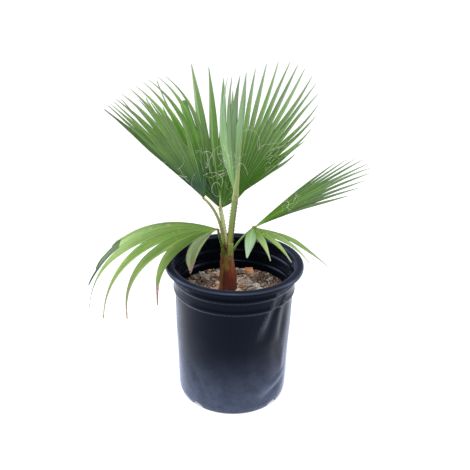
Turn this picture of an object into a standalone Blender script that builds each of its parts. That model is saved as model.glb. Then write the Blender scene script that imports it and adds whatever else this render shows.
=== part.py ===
"""Potted Mexican fan palm: a young palm in a black nursery pot.

The pot is turned and filled with bark mix. A short trunk stands in the mix, from a flat cut at the
mix's surface to the crown. Five leaves grow from the crown. Each has a petiole, which is one tapering
limb, and a fan of pleated segments, joined near its heart and free towards their tips. The right-hand
leaf is torn in two, so its fan is two blades. Sizes are in metres and angles in degrees. The origin is
the middle of the pot's flat underside, +Z is up, and the leaves that hang lowest reach towards -X.
"""

import bpy
import bmesh
from math import asin, cos, exp, pi, radians, sin
from mathutils import Matrix, Vector

# Running gap between pieces that meet, the distance within which a piece's own points join, and the
# fold from which an edge looks sharp
GAP = 0.0003
SEAM = 0.00001
SHARP_ANGLE = 35

# Pot
POT_HEIGHT = 0.276
RIM_RADIUS = 0.130
MOUTH_RADIUS = 0.1175
WALL = 0.0018
FLOOR = 0.0020
LIP_DEPTH = 0.0080
COLLAR_RADIUS = 0.1150
UPPER_STEP_HEIGHT = 0.246
MIDDLE_BAND_RADIUS = 0.1136
LOWER_STEP_HEIGHT = 0.222
BODY_TOP_RADIUS = 0.1120
BODY_FOOT_RADIUS = 0.1040
STEP_DROP = 0.0020
FOOT_HEIGHT = 0.0120
FOOT_FLAT_RADIUS = 0.0980
FOOT_ROUND_RADIUS = 0.1030
FOOT_HEEL_RADIUS = 0.1010
LIP_CORNER = 0.0020
LIP_EASE = 0.0010
TURN_STEPS = 48

# Drain notches in the pot's bottom corner
NOTCH_HEADINGS = (50, 140, 230, 320)
NOTCH_RADIUS = 0.0125
NOTCH_AXIS_HEIGHT = -0.0035
NOTCH_DEPTH = 0.032
NOTCH_SIDES = 24

# Bark mix
MIX_HEIGHT = 0.2125
MIX_EDGE_HEIGHT = 0.2075
MIX_FLAT_RADIUS = 0.036
MIX_SAG = 0.0015
MIX_FOOT_INSET = 0.0005

# Trunk
TRUNK_FOOT = Vector((-0.0120, 0.0080, MIX_HEIGHT + GAP))
TRUNK_CROWN = Vector((-0.0145, 0.0055, 0.2880))
TRUNK_TOP_RADIUS = 0.0120
TRUNK_TAPER = 0.0032
ROOT_FLARE = 0.0018
FLARE_FALL = 8.0
TRUNK_ROW_CROWDING = 1.5
TRUNK_ROWS = 8
TRUNK_SIDES = 20

# Petioles
PETIOLE_ROWS = 9
PETIOLE_SIDES = 10
ROOT_DEEPER = 1.15

# Fans
RIB_STEPS = 24
STEEPEST_FALL = 88
ARCHED_DROOP = 30
UNITED_ROWS = 3
FREE_ROWS = 3
ARCHED_UNITED_ROWS = 4
ARCHED_FREE_ROWS = 5
PLEAT = 0.14
TIP_WIDTH = 0.07
THICKNESS_SHARE = 0.0105
BROKEN_SEGMENT = 3
BROKEN_SHARE = 0.74

# One entry a leaf. Its petiole rises from root, a place on the crown, to heart, the point that its fan's
# ribs spread from, and ends a neck past it. flat_way is the heading of the petiole's wide axis.
# A fan has a midrib and one or two halves, each from the midrib to its edge rib. Directions are pairs of
# a heading, from +X towards +Y, and a rise above level. Ribs start a heel away from the heart, turn down
# by droop at their tips, faster near the tip with a higher power, and part at split, a share of their
# length. middle and outer are the lengths of a half's middle and edge ribs, spacing above 1 crowds its
# ribs towards the midrib, gather bends their tips back towards it, face tells on which side of the blade
# its folds stand out, and broken holds the share of its length that a broken segment keeps.
LEAVES = (
    dict(
        name="left", root=(-0.0210, 0.0040), bend=(-0.0190, -0.0020, 0.3640),
        heart=(-0.0545, -0.0300, 0.4110), neck=0.0031,
        root_half_width=0.0044, half_width=0.0040, half_depth=0.0026, flat_way=310,
        fans=(
            dict(
                name="fan_left", midrib=(175, 41), length=0.232, droop=3, power=1.5, split=0.55, heel=0.0050,
                halves=(
                    dict(edge=(250, 67), count=6, middle=0.229, outer=0.201, droop=15, face=1),
                    dict(edge=(85, 68), count=7, middle=0.230, outer=0.225, droop=5, face=-1, gather=0.35),
                ),
            ),
        ),
    ),
    dict(
        name="back", root=(-0.0150, 0.0105), bend=(-0.0180, 0.0140, 0.3270),
        heart=(-0.0285, 0.0300, 0.3680), neck=0.0020,
        root_half_width=0.0044, half_width=0.0042, half_depth=0.0024, flat_way=35,
        fans=(
            dict(
                name="fan_back", midrib=(98, 70), length=0.250, droop=-6, power=1.5, split=0.50, heel=0.0050,
                halves=(
                    dict(edge=(150, 31), count=6, middle=0.274, outer=0.220, droop=8, face=1, gather=0.10,
                         broken={BROKEN_SEGMENT: BROKEN_SHARE}),
                    dict(edge=(48, 4), count=8, middle=0.175, outer=0.105, droop=0, face=-1, gather=0.20),
                ),
            ),
        ),
    ),
    dict(
        name="centre", root=(-0.0100, 0.0015), bend=(-0.0080, -0.0040, 0.3470),
        heart=(-0.0010, -0.0100, 0.4080), neck=0.0021,
        root_half_width=0.0058, half_width=0.0056, half_depth=0.0028, flat_way=0,
        fans=(
            dict(
                name="fan_centre", midrib=(-70, 78), length=0.245, droop=3, power=1.5, split=0.55,
                heel=0.0050,
                halves=(
                    dict(edge=(14, 33), count=14, middle=0.250, outer=0.117, droop=0, face=-1),
                    dict(edge=(118, 50), count=5, middle=0.217, outer=0.211, droop=2, face=1, gather=0.50),
                ),
            ),
        ),
    ),
    dict(
        name="right", root=(-0.0060, 0.0085), bend=(0.0060, 0.0040, 0.3200),
        heart=(0.0340, 0.0000, 0.3450), neck=0.0035,
        root_half_width=0.0036, half_width=0.0034, half_depth=0.0022, flat_way=90,
        fans=(
            dict(
                name="fan_right_raised", midrib=(10, 21), length=0.172, droop=13, power=1.5, split=0.60,
                heel=0.0050,
                halves=(
                    dict(edge=(32, 32), count=9, middle=0.249, outer=0.191, droop=7, face=1),
                ),
            ),
            dict(
                name="fan_right_hanging", midrib=(-6, -9), length=0.178, droop=37, power=1.2, split=0.50,
                heel=0.0042,
                halves=(
                    dict(edge=(-116, 0), count=5, middle=0.101, outer=0.091, droop=26, face=-1, spacing=1.6),
                ),
            ),
        ),
    ),
    dict(
        name="arching", root=(-0.0175, -0.0035), bend=(-0.0275, -0.0140, 0.3220),
        heart=(-0.0310, -0.0280, 0.3515), neck=0.0010,
        root_half_width=0.0036, half_width=0.0032, half_depth=0.0022, flat_way=305,
        fans=(
            dict(
                name="fan_arching", midrib=(156, 8), length=0.296, droop=69, power=1.04, split=0.40,
                heel=0.0036,
                halves=(
                    dict(edge=(212, -6), count=7, middle=0.322, outer=0.048, droop=110, face=-1, spacing=1.3),
                    dict(edge=(145, -1), count=5, middle=0.257, outer=0.086, droop=36, face=1),
                ),
            ),
        ),
    ),
)


def clear_scene():
    """Remove what the file starts with."""
    for thing in list(bpy.data.objects):
        bpy.data.objects.remove(thing, do_unlink=True)


def new_collection(name):
    collection = bpy.data.collections.new(name)
    bpy.context.scene.collection.children.link(collection)
    return collection


def linear(hex_colour):
    """Linear RGBA of an sRGB hex colour."""
    channels = [int(hex_colour[k:k + 2], 16) / 255 for k in (0, 2, 4)]
    return [c / 12.92 if c <= 0.04045 else ((c + 0.055) / 1.055) ** 2.4 for c in channels] + [1.0]


def make_material(name, colour, roughness):
    material = bpy.data.materials.new(name)
    material.use_nodes = True
    shader = material.node_tree.nodes["Principled BSDF"]
    shader.inputs["Base Color"].default_value = linear(colour)
    shader.inputs["Roughness"].default_value = roughness
    shader.inputs["Metallic"].default_value = 0.0
    return material


def add_object(name, bm, material, collection):
    """Turn a bmesh into a named object with one material."""
    mesh = bpy.data.meshes.new(name)
    bm.to_mesh(mesh)
    bm.free()
    mesh.materials.append(material)
    mesh.shade_smooth()
    mesh.set_sharp_from_angle(angle=radians(SHARP_ANGLE))
    piece = bpy.data.objects.new(name, mesh)
    collection.objects.link(piece)
    return piece


def turn(name, profile, material, collection):
    """Turn a profile of (radius, height) points, from axis to axis, about the Z axis."""
    bm = bmesh.new()
    corners = [bm.verts.new((radius, 0.0, height)) for radius, height in profile]
    for first, second in zip(corners, corners[1:]):
        bm.edges.new((first, second))
    piece = add_object(name, bm, material, collection)
    screw = piece.modifiers.new("turn", "SCREW")
    screw.axis = "Z"
    screw.angle = 2 * pi
    screw.steps = TURN_STEPS
    screw.render_steps = TURN_STEPS
    screw.use_merge_vertices = True
    screw.merge_threshold = SEAM
    return piece


def body_radius(height):
    """Outer radius of the pot's tapering body, below its lower step."""
    share = (height - FOOT_HEIGHT) / (LOWER_STEP_HEIGHT - STEP_DROP - FOOT_HEIGHT)
    return BODY_FOOT_RADIUS + (BODY_TOP_RADIUS - BODY_FOOT_RADIUS) * share


def outer_wall():
    """The pot's outer wall, from under the lip down to the foot: a collar, two steps and a body."""
    return [
        (COLLAR_RADIUS, POT_HEIGHT - WALL),
        (COLLAR_RADIUS, UPPER_STEP_HEIGHT),
        (MIDDLE_BAND_RADIUS, UPPER_STEP_HEIGHT - STEP_DROP),
        (MIDDLE_BAND_RADIUS, LOWER_STEP_HEIGHT),
        (BODY_TOP_RADIUS, LOWER_STEP_HEIGHT - STEP_DROP),
        (BODY_FOOT_RADIUS, FOOT_HEIGHT),
        (FOOT_ROUND_RADIUS, FOOT_HEIGHT / 2),
        (FOOT_HEEL_RADIUS, FOOT_HEIGHT / 8),
    ]


def build_pot(material, collection, cutters):
    """Turn the pot's shell, inside first, over the lip and down the outside, then cut its notches."""
    outside = outer_wall()
    inside = [(radius - WALL, height) for radius, height in outside[1:-1]]
    under_lip = POT_HEIGHT - WALL
    profile = [(0.0, FLOOR), (FOOT_FLAT_RADIUS - WALL, FLOOR)]
    profile += reversed(inside)
    profile += [
        (COLLAR_RADIUS - WALL, under_lip - LIP_EASE),
        (MOUTH_RADIUS, POT_HEIGHT),
        (RIM_RADIUS - LIP_CORNER, POT_HEIGHT),
        (RIM_RADIUS, POT_HEIGHT - LIP_CORNER),
        (RIM_RADIUS, POT_HEIGHT - LIP_DEPTH),
        (RIM_RADIUS - WALL, POT_HEIGHT - LIP_DEPTH),
        (RIM_RADIUS - WALL, under_lip - LIP_EASE),
        (RIM_RADIUS - WALL - LIP_EASE, under_lip),
    ]
    profile += outside
    profile += [(FOOT_FLAT_RADIUS, 0.0), (0.0, 0.0)]
    pot = turn("pot", profile, material, collection)
    for heading in NOTCH_HEADINGS:
        bm = bmesh.new()
        bmesh.ops.create_cone(bm, cap_ends=True, segments=NOTCH_SIDES, radius1=NOTCH_RADIUS,
                              radius2=NOTCH_RADIUS, depth=NOTCH_DEPTH)
        lay_flat = Matrix.Rotation(pi / 2, 4, "Y")
        swing = Matrix.Rotation(radians(heading), 4, "Z")
        place = Matrix.Translation((BODY_FOOT_RADIUS, 0.0, NOTCH_AXIS_HEIGHT))
        bmesh.ops.transform(bm, matrix=swing @ place @ lay_flat, verts=bm.verts)
        cutter = add_object(f"notch_cutter_{heading}", bm, material, cutters)
        cutter.hide_render = True
        cutter.display_type = "WIRE"
        cut = pot.modifiers.new(f"notch_{heading}", "BOOLEAN")
        cut.operation = "DIFFERENCE"
        cut.solver = "EXACT"
        cut.object = cutter
    return pot


def build_mix(material, collection):
    """Turn the bark mix: it fills the pot, a gap clear of its wall, and is a little higher in the middle."""
    inset = WALL + GAP
    edge_radius = body_radius(MIX_EDGE_HEIGHT) - inset
    profile = [
        (0.0, MIX_HEIGHT),
        (MIX_FLAT_RADIUS, MIX_HEIGHT),
        ((MIX_FLAT_RADIUS + edge_radius) / 2, MIX_HEIGHT - MIX_SAG),
        (edge_radius, MIX_EDGE_HEIGHT),
        (BODY_FOOT_RADIUS - inset, FOOT_HEIGHT),
        (FOOT_ROUND_RADIUS - inset - MIX_FOOT_INSET, FOOT_HEIGHT / 2),
        (FOOT_FLAT_RADIUS - inset - 2 * MIX_FOOT_INSET, FLOOR + GAP),
        (0.0, FLOOR + GAP),
    ]
    return turn("bark_mix", profile, material, collection)


def limb(name, rings, sides, material, collection):
    """Loft a solid limb: one round face, extruded ring by ring. Each ring is (centre, wide, thick)."""
    bm = bmesh.new()
    bmesh.ops.create_circle(bm, cap_ends=True, radius=1.0, segments=sides)
    bm.faces.ensure_lookup_table()
    end = bm.faces[0]
    angles = {corner: 2 * pi * k / sides for k, corner in enumerate(end.verts)}
    for number, (centre, wide, thick) in enumerate(rings):
        if number > 0:
            made = bmesh.ops.extrude_discrete_faces(bm, faces=[end])
            end = made["faces"][0]
            angles = {corner: 2 * pi * k / sides for k, corner in enumerate(end.verts)}
        for corner, angle in angles.items():
            corner.co = centre + wide * cos(angle) + thick * sin(angle)
    bmesh.ops.holes_fill(bm, edges=[edge for edge in bm.edges if edge.is_boundary], sides=sides)
    bmesh.ops.recalc_face_normals(bm, faces=bm.faces)
    return add_object(name, bm, material, collection)


def build_trunk(material, collection):
    """The trunk leans a little, tapers to the crown and flares at its foot."""
    rings = []
    for row in range(TRUNK_ROWS + 1):
        share = (row / TRUNK_ROWS) ** TRUNK_ROW_CROWDING
        radius = TRUNK_TOP_RADIUS + TRUNK_TAPER * (1 - share) + ROOT_FLARE * exp(-share * FLARE_FALL)
        centre = TRUNK_FOOT.lerp(TRUNK_CROWN, share)
        rings.append((centre, Vector((radius, 0.0, 0.0)), Vector((0.0, radius, 0.0))))
    return limb("trunk", rings, TRUNK_SIDES, material, collection)


def direction(heading, rise):
    """Unit vector from a heading and a rise in degrees."""
    turned = radians(heading)
    raised = radians(rise)
    return Vector((cos(turned) * cos(raised), sin(turned) * cos(raised), sin(raised)))


def path_point(leaf, share):
    """Point and direction at a share of the petiole's path, a curve from root to heart."""
    root = Vector((*leaf["root"], TRUNK_CROWN.z + GAP))
    bend = Vector(leaf["bend"])
    heart = Vector(leaf["heart"])
    heart += (heart - bend).normalized() * leaf["neck"]
    point = root.lerp(bend, share).lerp(bend.lerp(heart, share), share)
    along = (bend - root).lerp(heart - bend, share).normalized()
    return point, along


def build_petiole(leaf, material, collection):
    """One tapering limb, oval across, from its flat seat on the crown to just short of the heart."""
    flat = direction(leaf["flat_way"], 0)
    rings = []
    for row in range(PETIOLE_ROWS + 1):
        share = row / PETIOLE_ROWS
        centre, along = path_point(leaf, share)
        if row == 0:
            along = Vector((0.0, 0.0, 1.0))
        wide = (flat - along * flat.dot(along)).normalized()
        thick = along.cross(wide)
        half_width = leaf["root_half_width"] + (leaf["half_width"] - leaf["root_half_width"]) * share
        half_depth = leaf["half_depth"] * (ROOT_DEEPER + (1 - ROOT_DEEPER) * share)
        rings.append((centre, wide * half_width, thick * half_depth))
    return limb(f"petiole_{leaf['name']}", rings, PETIOLE_SIDES, material, collection)


def reach(fan, half, turn_share):
    """Length of a rib: a parabola through the midrib's, the middle rib's and the edge rib's lengths."""
    return (fan["length"] * (1 - turn_share) * (1 - 2 * turn_share)
            + half["middle"] * 4 * turn_share * (1 - turn_share)
            + half["outer"] * turn_share * (2 * turn_share - 1))


def rib_point(leaf, fan, half, turn_share, along):
    """Point at a share of the way along a rib that sets off straight and droops under its own weight."""
    turn = turn_share * (1 - half.get("gather", 0.0) * along ** 2)
    aim = direction(*fan["midrib"]).slerp(direction(*half["edge"]), turn ** half.get("spacing", 1.0))
    level = Vector((aim.x, aim.y, 0.0)).normalized()
    rise = asin(aim.z)
    droop = radians(fan["droop"] * (1 - turn_share) + half["droop"] * turn_share)
    length = reach(fan, half, turn_share)
    start = fan["heel"] / length
    share = start + (1 - start) * along
    step = length * share / RIB_STEPS
    point = Vector(leaf["heart"])
    for number in range(RIB_STEPS):
        passed = share * (number + 0.5) / RIB_STEPS
        angle = max(rise - droop * passed ** fan["power"], -radians(STEEPEST_FALL))
        point += (level * cos(angle) + Vector((0.0, 0.0, sin(angle)))) * step
    return point


def segment_point(leaf, fan, half, index, across, along):
    """Point on one segment: across is 0 and 1 at its edges and 0.5 on its rib, which lies in the fold."""
    places = [(index + k) / half["count"] for k in (0, 0.5, 1)]
    left, middle, right = [rib_point(leaf, fan, half, place, along) for place in places]
    if along > fan["split"]:
        freed = (along - fan["split"]) / (1 - fan["split"])
        width = 1 - (1 - TIP_WIDTH) * freed
        fold = sin(pi * freed)
    else:
        width = 1.0
        fold = sin(pi * along / fan["split"])
    if across < 0.25:
        return middle + (left - middle) * width
    if across > 0.75:
        return middle + (right - middle) * width
    outward = middle - Vector(leaf["heart"])
    normal = (right - left).cross(outward).normalized() * half["face"]
    depth = PLEAT * (right - left).length * width * fold
    return middle - normal * depth


def build_fan(leaf, fan, material, collection):
    """A fan of segments: each is a small grid bent to its place, sewn to its neighbours up to the split."""
    arched = fan["droop"] > ARCHED_DROOP
    united_rows = ARCHED_UNITED_ROWS if arched else UNITED_ROWS
    free_rows = ARCHED_FREE_ROWS if arched else FREE_ROWS
    split = fan["split"]
    bm = bmesh.new()
    for half in fan["halves"]:
        for index in range(half["count"]):
            end = half.get("broken", {}).get(index, 1.0)
            along = [split * k / united_rows for k in range(united_rows)]
            along += [split + (end - split) * k / free_rows for k in range(free_rows + 1)]
            grid = bmesh.ops.create_grid(bm, x_segments=2, y_segments=united_rows + free_rows, size=0.5)
            for corner in grid["verts"]:
                row = round((corner.co.y + 0.5) * (united_rows + free_rows))
                corner.co = segment_point(leaf, fan, half, index, corner.co.x + 0.5, along[row])
    bmesh.ops.remove_doubles(bm, verts=bm.verts, dist=SEAM)
    bmesh.ops.recalc_face_normals(bm, faces=bm.faces)
    piece = add_object(fan["name"], bm, material, collection)
    longest = max([fan["length"]] + [max(half["middle"], half["outer"]) for half in fan["halves"]])
    skin = piece.modifiers.new("leaf_thickness", "SOLIDIFY")
    skin.thickness = longest * THICKNESS_SHARE
    skin.offset = 0.0
    return piece


def main():
    clear_scene()
    plant = new_collection("potted_mexican_fan_palm")
    cutters = new_collection("cutters")
    build_pot(make_material("black_polyethylene", "22262B", 0.45), plant, cutters)
    build_mix(make_material("bark_mix", "5A4636", 0.95), plant)
    build_trunk(make_material("trunk_fibre", "6B3A1E", 0.80), plant)
    petiole_green = make_material("petiole_green", "9AAE62", 0.50)
    leaf_green = make_material("leaf_green", "5C8A3C", 0.50)
    for leaf in LEAVES:
        build_petiole(leaf, petiole_green, plant)
        for fan in leaf["fans"]:
            build_fan(leaf, fan, leaf_green, plant)


main()
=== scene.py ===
import random
from functools import partial
from math import asin, atan2, cos, degrees, exp, floor, hypot, pi, radians, sin

import bmesh
import bpy
from mathutils import Matrix, Vector, noise


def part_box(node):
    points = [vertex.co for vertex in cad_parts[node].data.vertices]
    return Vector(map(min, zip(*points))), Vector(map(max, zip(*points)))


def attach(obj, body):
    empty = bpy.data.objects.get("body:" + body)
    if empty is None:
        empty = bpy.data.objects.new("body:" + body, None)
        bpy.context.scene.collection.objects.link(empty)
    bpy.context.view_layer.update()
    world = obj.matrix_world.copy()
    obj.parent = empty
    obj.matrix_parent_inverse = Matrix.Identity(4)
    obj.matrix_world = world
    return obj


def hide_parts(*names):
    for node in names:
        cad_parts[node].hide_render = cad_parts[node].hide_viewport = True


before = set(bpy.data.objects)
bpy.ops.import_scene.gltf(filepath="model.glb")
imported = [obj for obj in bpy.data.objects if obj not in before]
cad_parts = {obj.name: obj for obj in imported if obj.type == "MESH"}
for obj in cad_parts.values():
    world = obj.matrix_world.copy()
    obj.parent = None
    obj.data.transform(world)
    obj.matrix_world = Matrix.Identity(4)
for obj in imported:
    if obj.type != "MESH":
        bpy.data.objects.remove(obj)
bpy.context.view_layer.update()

# Looks of a young Mexican fan palm in a black nursery pot. Sizes are in metres and angles in degrees.
# The pot, its bark mix, the trunk, the petioles and the fans are each made again in finer detail, in the
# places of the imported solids. Headings turn from +X towards +Y, and the camera looks along +Y.

# Camera
CAMERA_PLACE = Vector((-0.0003, -1.341, 0.939))
CAMERA_DOWN = 24.47
CAMERA_ROLL = 1.27
FOCAL_PIXELS = 798.8
FRAME_PIXELS = 470
SENSOR_WIDTH = 36.0

# Lights: each sun's name, strength, spread and lean, and each panel's name, place, size and power
SUNS = (("overhead", 1.6, 45, 22), ("key", 1.4, 9, 30))
SUN_SIDE_LEAN = -3
PANELS = (
    ("panel_left", (-1.25, 0.25, 0.60), (0.9, 1.3), 26),
    ("panel_right", (1.3, 0.05, 0.60), (0.6, 1.3), 18),
)
PANEL_AIM = Vector((0.0, 0.0, 0.2))
PANEL_COLOUR = "EEF3FF"
WORLD_STRENGTH = 0.32

# Pot
POT_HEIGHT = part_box("pot")[1].z
RIM_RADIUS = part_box("pot")[1].x
MOUTH_RADIUS = 0.1175
WALL = 0.0018
FLOOR = 0.0020
LIP_DEPTH = 0.0080
LIP_ROUND = 0.0062
LIP_EDGE_EASE = 0.0006
LIP_INNER_EASE = 0.0016
MOUTH_EASE = 0.0018
NECK_DROP = 0.0020
NECK_EASE = 0.0010
COLLAR_EASE = 0.0012
COLLAR_RADIUS = 0.1150
UPPER_STEP_HEIGHT = 0.246
MIDDLE_BAND_RADIUS = 0.1136
LOWER_STEP_HEIGHT = 0.222
BODY_TOP_RADIUS = 0.1120
BODY_FOOT_RADIUS = 0.1040
# A bead over each step: how far it stands out, where it starts and is widest above the step, and its rounding
BEAD = 0.0024
BEAD_RISE = 0.0100
BEAD_FOOT = 0.0025
BEAD_EASE = 0.0030
STEP_DROP = 0.0020
STEP_EASE = 0.0014
FOOT_HEIGHT = 0.0120
FOOT_EASE = 0.0040
FOOT_FLAT_RADIUS = 0.0980
FOOT_SPREAD = 0.0020
FLOOR_EASE = 0.0030
WALL_ZONE = 0.0900
POT_TURN_STEPS = 160
WALL_ROW = 0.0035
CORNER_STEPS = 4
NOTCH_HEADINGS = (50, 140, 230, 320)
NOTCH_RADIUS = 0.0150
NOTCH_AXIS_HEIGHT = -0.0040
NOTCH_DEPTH = 0.032
NOTCH_SIDES = 40
DUST_TOP = 0.150
DUST_FOOT = -0.020
# Depth under the lip's top of the band of painted highlight
LIP_HIGHLIGHT_DEPTH = 0.0050

# Creases that handling left in the pot's thin wall: from heading and height, to heading and height, the
# crease's half width, and how far the wall is pushed out
CREASES = (
    (-49, 0.250, -66, 0.168, 0.0050, 0.0016),
    (-43, 0.240, -57, 0.166, 0.0110, -0.0036),
    (-58, 0.206, -63, 0.186, 0.0030, 0.0010),
    (-39, 0.228, -46, 0.196, 0.0045, 0.0012),
    (-33, 0.215, -37, 0.150, 0.0100, -0.0026),
    (-37, 0.243, -41, 0.226, 0.0040, -0.0016),
    (-45, 0.140, -40, 0.100, 0.0120, -0.0014),
    (-30, 0.120, -30, 0.070, 0.0080, 0.0014),
    (-21, 0.064, -64, 0.040, 0.0060, 0.0026),
    (-25, 0.044, -60, 0.022, 0.0090, -0.0034),
    (-70, 0.120, -58, 0.080, 0.0140, -0.0016),
    (-135, 0.090, -120, 0.050, 0.0100, -0.0012),
    (-104, 0.032, -108, 0.018, 0.0060, 0.0010),
    (35, 0.160, 60, 0.110, 0.0120, -0.0010),
    (150, 0.090, 172, 0.060, 0.0120, -0.0010),
)
CREASE_END_SHARE = 0.35
CREASE_END_TURN = 0.08
STRAIN_PUSHES = (0.0004, 0.0022)
WALL_WAVE = 0.0008
WALL_WAVE_SPAN = 0.060
FOOT_FADE = (0.004, 0.020)
TOP_FADE = 0.018

# Bark mix
MIX_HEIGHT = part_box("bark_mix")[1].z
MIX_EDGE_HEIGHT = 0.2075
MIX_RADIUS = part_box("bark_mix")[1].x
MIX_TOP_DROP = 0.0005
MIX_BUMP = 0.0022
MIX_LUMP = 0.016
MIX_CLEARANCE = 0.0006
MIX_SHOULDER = (0.0060, 0.0160)
MIX_FOOT_INSET = 0.0100
MIX_FOOT_RADIUS = 0.0900
MIX_WALL_ZONE = 0.0850
MIX_RINGS = 44
MIX_TURN_STEPS = 128
MIX_ROW = 0.050
TRUNK_BERTH = 0.0195
CHIP_COUNTS = {"brown": 300, "grey": 230, "orange": 52, "pale": 150}
CHIP_SHORTEST = 0.0050
CHIP_SPREAD = 0.0150
CHIP_WIDTHS = (0.40, 0.75)
CHIP_THICKNESSES = (0.14, 0.30)
CHIP_PULLS = (-0.45, 0.25)
CHIP_TILT = 15
CHIP_LEAN = 17
CHIP_BEVEL = 0.22
# The largest chips of two kinds: where they lie across the mix, and how long they are
LARGE_CHIPS = {
    "orange": ((0.0312, 0.0759, 0.021), (0.0134, 0.0120, 0.017), (-0.0500, 0.0700, 0.015)),
    "grey": ((-0.0532, 0.0461, 0.024), (-0.0640, 0.0560, 0.019), (0.0037, 0.0279, 0.012)),
}
LARGE_CHIP_LIFT = 0.9
PERLITE_COUNT = 420
CRUMB_COUNT = 900
BIT_LIFT = 0.25
BIT_ROUGHNESS = 0.07
TWIG_COUNT = 70
TWIG_LENGTHS = (0.008, 0.028)
TWIG_RADII = (0.0003, 0.0007)
TWIG_TAPER = (1.0, 1.1, 1.0, 0.9, 0.4)
TWIG_BOW = 0.2
TWIG_LIFT = 0.0016
TWIG_ARCH = 0.0015

# Trunk
TRUNK_FOOT = Vector((-0.0120, 0.0080, MIX_HEIGHT))
TRUNK_CROWN = Vector((-0.0145, 0.0055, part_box("trunk")[1].z))
TRUNK_TOP_RADIUS = 0.0120
TRUNK_TAPER = 0.0032
ROOT_FLARE = 0.0018
FLARE_FALL = 8.0
TRUNK_SIDES = 96
TRUNK_ROWS = 44
TRUNK_SUNK = 0.004
WRAP_RELIEF = 0.0011
WRAPS_ROUND = 2
WRAP_CLIMB = 2.6
WRAP_STRAY = 0.15
FIBRE_RELIEF = 0.0007
FIBRE_CUTS = (26, 26, 60)

# Petioles
PETIOLE_ROOT_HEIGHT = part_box("petiole_centre")[0].z
PETIOLE_ROWS = 40
PETIOLE_SIDES = 18
CHANNEL = 0.45
HASTULA_RISES = (-0.9, 0.1, 1.0, 1.8)
HASTULA_WIDTHS = (0.35, 0.62, 0.50, 0.08)
COSTA_ROWS = 16
COSTA_SIDES = 10
COSTA_START = 0.94
COSTA_TAPER = 0.9
COSTA_DEPTH = 0.7
THORN_SPACING = 0.0062
THORN_STRAYS = (0.7, 1.35)
THORN_START = 0.012
THORN_END = 0.93
THORN_SEAT = 0.93
THORN_LENGTHS = (0.0016, 0.0030)
THORN_RADII = (0.34, 0.30, 0.17, 0.02)
THORN_HOOK = 0.55

# Leaf bases
SHEATH_STEPS = 26
SHEATH_GAP = 0.0009
SHEATH_THICKNESS = 0.0009
SHEATH_RAGGED = 0.003
SHEATH_SCOOP = 0.010
SHEATH_RELIEF = 0.0006
SHEATH_CLOSING = (0.35, 1.25)
SHEATH_NARROWING = 0.35
SHEATH_TURN = 100
SHEATH_LOOSE = 1.22
SHEATH_TIGHTENING = 0.16
# Each leaf base: its finish, the height of its foot, the share of the petiole that it wraps, how far it
# turns to each side of the trunk, and how far it bulges
SHEATHS = {
    "left": ("red", 0.238, 0.16, 85, 0.0),
    "back": ("red", 0.240, 0.20, 80, 0.0),
    "centre": ("front", 0.214, 0.21, 78, 0.0026),
    "right": ("green", 0.250, 0.30, 44, 0.0),
    "arching": ("olive", 0.218, 0.30, 50, 0.0004),
}

# Fans. Twist, sway and bow bend a free tip out of its place, and the fold closes by CLOSINGS towards it.
RIB_STEPS = 24
STEEPEST_FALL = 88
BLADE_ROWS = 34
BLADE_COLUMNS = 8
BLADE_THICKNESS = 0.0005
PLEAT = 0.31
TIP_PLEAT = 0.42
TIP_WIDTH = 0.05
SPLIT_SPREAD = 0.05
# Painted shade: a dark green finish for a segment from its folded share on, as the shade inside a fold
FOLD_SHADE_FINISH = "fold_shade_green"
FOLD_LIP = 0.35
NEVER = 2.0
SWAY = 0.0016
BOW = 0.0022
TONES = (0.78, 1.20)
CLOSINGS = (0.7, 1.5)
USUAL_BLOOM = 0.24
USUAL_SLIM = 1.1
SEAM = 0.00001

# Threads: the fan and its half, the shares of the half's turn and of the way to its splits between which they
# start, how many there are, and the longest
THREADS = (
    ("fan_left", 0, (0.0, 0.5), (0.30, 1.00), 5, 0.050),
    ("fan_left", 1, (0.0, 1.0), (0.25, 1.00), 24, 0.085),
    ("fan_back", 0, (0.0, 1.0), (0.45, 1.00), 26, 0.090),
    ("fan_back", 1, (0.0, 0.8), (0.40, 1.00), 12, 0.070),
    ("fan_centre", 0, (0.3, 0.8), (0.85, 1.00), 12, 0.085),
    ("fan_centre", 1, (0.0, 1.0), (0.50, 1.00), 10, 0.075),
    ("fan_right_raised", 0, (0.1, 0.95), (0.60, 1.00), 12, 0.050),
    ("fan_right_hanging", 0, (0.2, 0.8), (0.70, 1.00), 2, 0.030),
)
# Longer shreds: the fan and its half, the shares of turn and length where they start, their direction, their
# length and how far they curl
SHREDS = (
    ("fan_right_hanging", 0, 0.2, 0.20, (-8, -18), 0.085, 4.6),
    ("fan_centre", 1, 0.2, 0.20, (20, -50), 0.050, 0.8),
)
THREAD_STEPS = 26
THREAD_RADII = (0.00016, 0.00030)
THREAD_LIFT = 0.0024
THREAD_LIFT_STEPS = 3
THREAD_SAG = 0.015
THREAD_TURN = 1.4
THREAD_CURLS = (0.6, 5.0)
THREAD_SHORTEST = 0.35
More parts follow.
